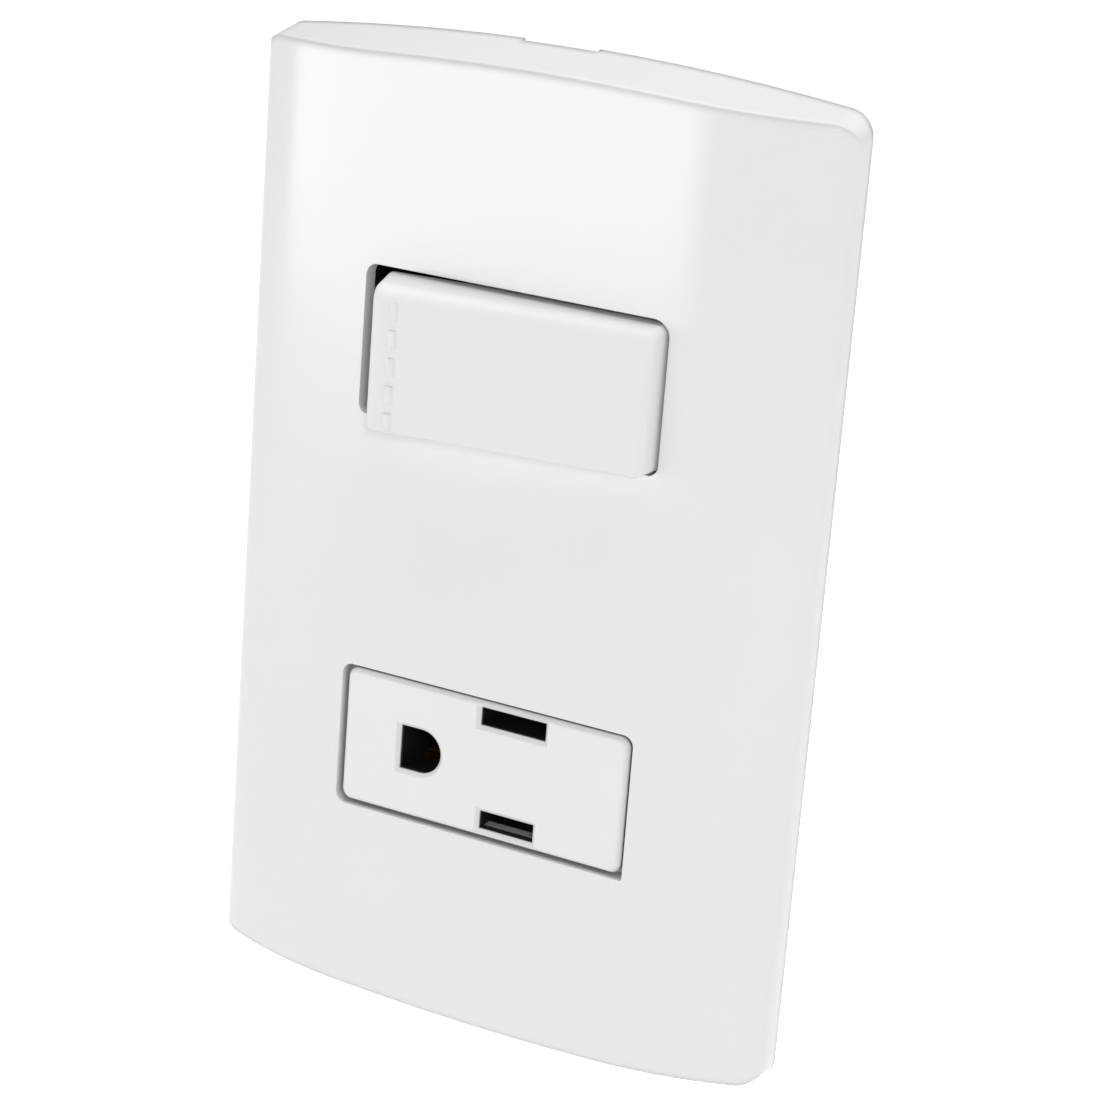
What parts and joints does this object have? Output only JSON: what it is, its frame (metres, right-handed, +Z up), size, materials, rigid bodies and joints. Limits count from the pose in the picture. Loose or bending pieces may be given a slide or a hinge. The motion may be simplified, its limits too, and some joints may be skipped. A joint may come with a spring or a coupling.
{
  "type": "switch and socket combination",
  "caption": "Rocker switch and grounded socket outlet lying on their sides in a white screwless wall plate, with support frame, contacts and terminals behind.",
  "frame": {"origin": "on the wall plane, midway between the two box screws and midway between the two modules", "axes": "+Z up the plate, +Y into the wall, +X to the right seen from the room"},
  "size_m": [0.0738, 0.0407, 0.1175],
  "materials": {
    "plate_plastic": "white moulded plastic with a soft sheen",
    "rocker_plastic": "white moulded plastic with a satin face",
    "socket_plastic": "white moulded plastic",
    "frame_plastic": "light grey moulded plastic, matt",
    "housing_plastic": "dark grey moulded plastic, matt",
    "carrier_plastic": "black moulded plastic, matt",
    "plunger_plastic": "ivory moulded plastic",
    "contact_brass": "rolled and stamped",
    "contact_silver": "silver alloy contact button",
    "terminal_brass": "turned, lightly polished",
    "terminal_steel": "zinc plated",
    "ground_screw_green": "green coated",
    "screw_steel": "zinc plated",
    "spring_steel": "drawn spring wire"
  },
  "bodies": {
    "root": {"cover_plate": "plate_plastic", "mounting_frame": "frame_plastic", "box_screws": "screw_steel", "switch_collar": "carrier_plastic", "switch_housing": "housing_plastic", "fixed_contact_tip": "contact_silver", "pivot_terminal": "contact_brass", "fixed_terminal": "contact_brass", "switch_terminal_screws": "terminal_steel", "switch_clamp_plates": "terminal_steel", "socket_face": "socket_plastic", "contact_carrier": "carrier_plastic", "socket_housing": "housing_plastic", "neutral_contact": "contact_brass", "neutral_screw": "terminal_brass", "line_contact": "contact_brass", "line_screw": "terminal_brass", "ground_contact": "contact_brass", "ground_screw": "ground_screw_green", "socket_clamp_plates": "terminal_steel"},
    "rocker": {"rocker": "rocker_plastic", "plunger_spring": "spring_steel"},
    "plunger": {"plunger": "plunger_plastic"},
    "seesaw": {"seesaw_contact": "contact_brass", "moving_contact_tip": "contact_silver"}
  },
  "joints": [
    {"name": "rocker_tilt", "type": "hinge", "parent": "root", "child": "rocker", "pos_m": [0, 0.0044, 0.0238], "axis": [0, 0, 1], "range_deg": [-13.6, 0]},
    {"name": "seesaw_tilt", "type": "hinge", "parent": "root", "child": "seesaw", "pos_m": [0, 0.0127, 0.0238], "axis": [0, 0, 1], "range_deg": [0, 13.6]},
    {"name": "plunger_slide", "type": "slide", "parent": "rocker", "child": "plunger", "axis": [0.1184, -0.993, 0], "range_m": [0, 0.0012], "stiffness_N_per_m": 700, "deforming": ["plunger_spring"]}
  ],
  "couplings": [
    {"joint": "seesaw_tilt", "follows": "rocker_tilt", "ratio": -1}
  ]
}
